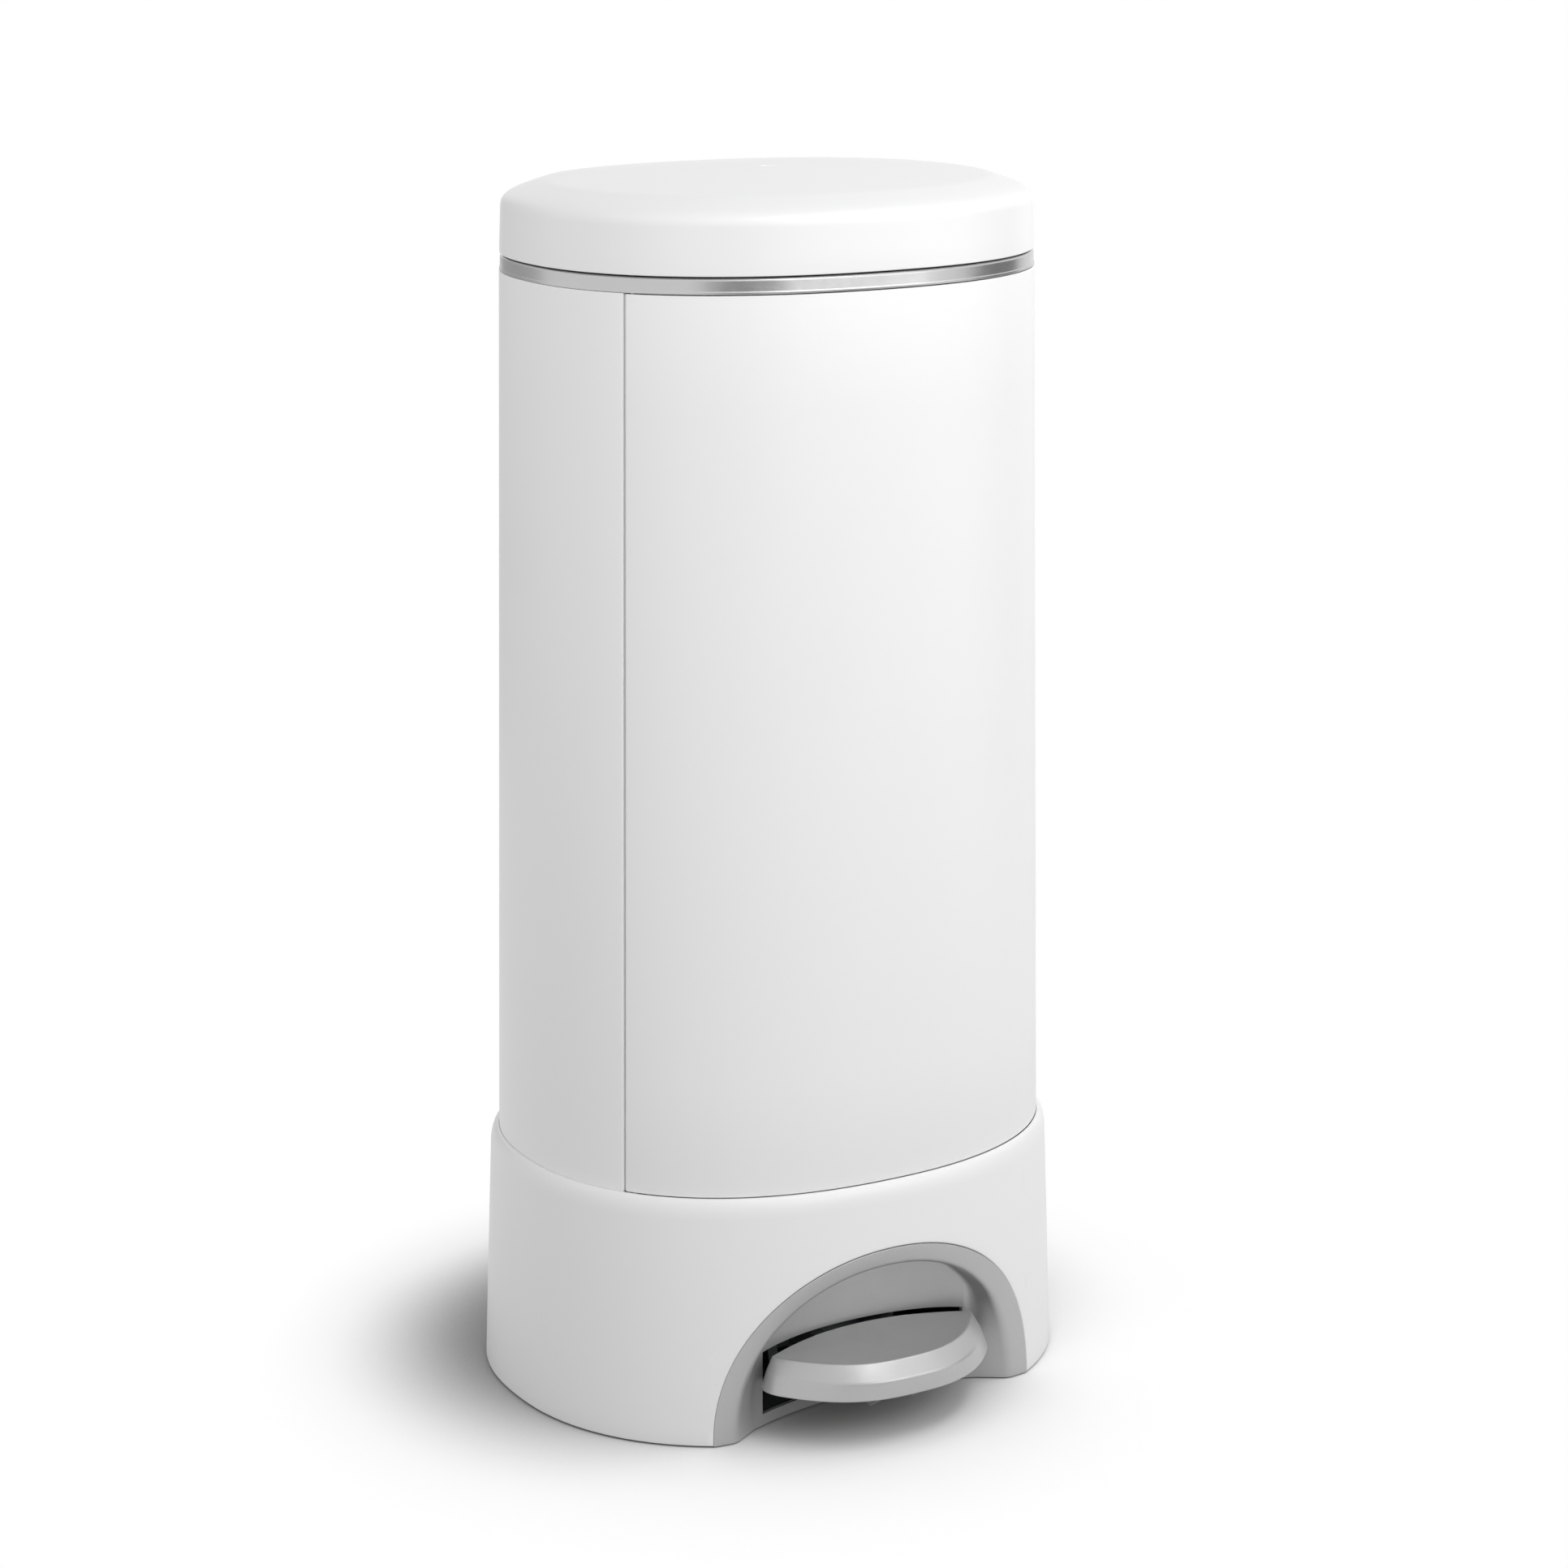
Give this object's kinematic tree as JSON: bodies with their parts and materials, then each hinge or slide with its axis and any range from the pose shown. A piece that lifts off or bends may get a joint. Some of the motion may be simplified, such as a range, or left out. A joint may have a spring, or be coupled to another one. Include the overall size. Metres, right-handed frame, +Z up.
{
  "type": "nappy bin",
  "caption": "Tall oval nappy bin with a pedal under a front arch that lifts a hinged lid, a front door for taking out the bag and sealing flaps under the lid.",
  "frame": {"origin": "on the floor under the middle of the whole bin's box, pedal included", "axes": "+Z up, the front with the pedal towards -Y, +X to the right as seen from the front"},
  "size_m": [0.319, 0.2934, 0.6555],
  "materials": {
    "white_gloss": "smooth gloss moulded plastic",
    "white_satin": "satin moulded plastic",
    "silver": "silver-coloured satin plastic",
    "grey_plastic": "satin moulded plastic",
    "dark_plastic": "moulded engineering plastic",
    "steel": "plain steel",
    "rubber": "matt rubber",
    "powder": "pressed powder"
  },
  "bodies": {
    "body": {"base_skirt": "white_satin", "pedal_bay": "silver", "base_plate": "dark_plastic", "foot_front_left": "rubber", "foot_front_right": "rubber", "foot_rear_left": "rubber", "foot_rear_right": "rubber", "base_screw_1": "steel", "base_screw_2": "steel", "base_screw_3": "steel", "base_screw_4": "steel", "axle_bracket_left": "dark_plastic", "axle_bracket_right": "dark_plastic", "pedal_axle": "steel", "bin_floor": "white_satin", "rear_shell": "white_satin", "door_pin_lower": "steel", "door_pin_upper": "steel", "catch_magnet_lower": "dark_plastic", "catch_magnet_upper": "dark_plastic", "top_frame": "white_satin", "silver_band": "silver", "bag_ring": "grey_plastic", "flap_pin_left": "steel", "flap_spring_left": "steel", "housing_screw_left": "steel", "flap_pin_right": "steel", "flap_spring_right": "steel", "housing_screw_right": "steel", "rod_cover": "white_satin", "rod_guide": "dark_plastic", "rod_spring": "steel", "hinge_housing": "white_satin", "lid_hinge_pin": "steel"},
    "lid": {"lid_shell": "white_gloss", "lid_liner": "white_satin", "lid_gasket": "rubber", "deodoriser_cup": "grey_plastic", "deodoriser_disc": "powder"},
    "deodoriser_dial": {"deodoriser_cover": "grey_plastic"},
    "pedal": {"pedal_lever": "dark_plastic", "pedal_cap": "silver"},
    "rod": {"lift_rod": "steel", "spring_clip": "dark_plastic"},
    "door": {"front_door": "white_satin", "catch_plate_lower": "steel", "catch_plate_upper": "steel"},
    "flap_left": {"seal_flap_left": "grey_plastic"},
    "flap_right": {"seal_flap_right": "grey_plastic"}
  },
  "joints": [
    {"name": "lid_hinge", "type": "hinge", "parent": "body", "child": "lid", "pos_m": [0, 0.13447, 0.617], "axis": [-1, 0, 0], "range_deg": [0, 70]},
    {"name": "pedal_pivot", "type": "hinge", "parent": "body", "child": "pedal", "pos_m": [0, -0.04974, 0.03], "axis": [1, 0, 0], "range_deg": [0, 8.7]},
    {"name": "lift_rod_slide", "type": "slide", "parent": "body", "child": "rod", "axis": [0, 0, 1], "range_m": [0, 0.0247], "stiffness_N_per_m": 60, "springref_m": -0.01, "deforming": ["rod_spring"]},
    {"name": "door_hinge", "type": "hinge", "parent": "body", "child": "door", "pos_m": [-0.12443, -0.06363, 0.137], "axis": [-0.0163, -0.0093, -0.9998], "range_deg": [0, 95]},
    {"name": "deodoriser_twist", "type": "hinge", "parent": "lid", "child": "deodoriser_dial", "pos_m": [0, 0.01026, 0.6053], "axis": [0, 0, 1], "range_deg": [0, 60]},
    {"name": "seal_flap_left_hinge", "type": "hinge", "parent": "body", "child": "flap_left", "pos_m": [-0.084, 0.01026, 0.5787], "axis": [0, 1, 0], "range_deg": [0, 80], "stiffness_Nm_per_rad": 0.03, "springref_deg": -34.38},
    {"name": "seal_flap_right_hinge", "type": "hinge", "parent": "body", "child": "flap_right", "pos_m": [0.084, 0.01026, 0.5787], "axis": [0, -1, 0], "range_deg": [0, 80], "stiffness_Nm_per_rad": 0.03, "springref_deg": -34.38}
  ],
  "couplings": [
    {"joint": "pedal_pivot", "follows": "lid_hinge", "ratio": 0.12329},
    {"joint": "lift_rod_slide", "follows": "lid_hinge", "m_per_rad": 0.020135}
  ]
}
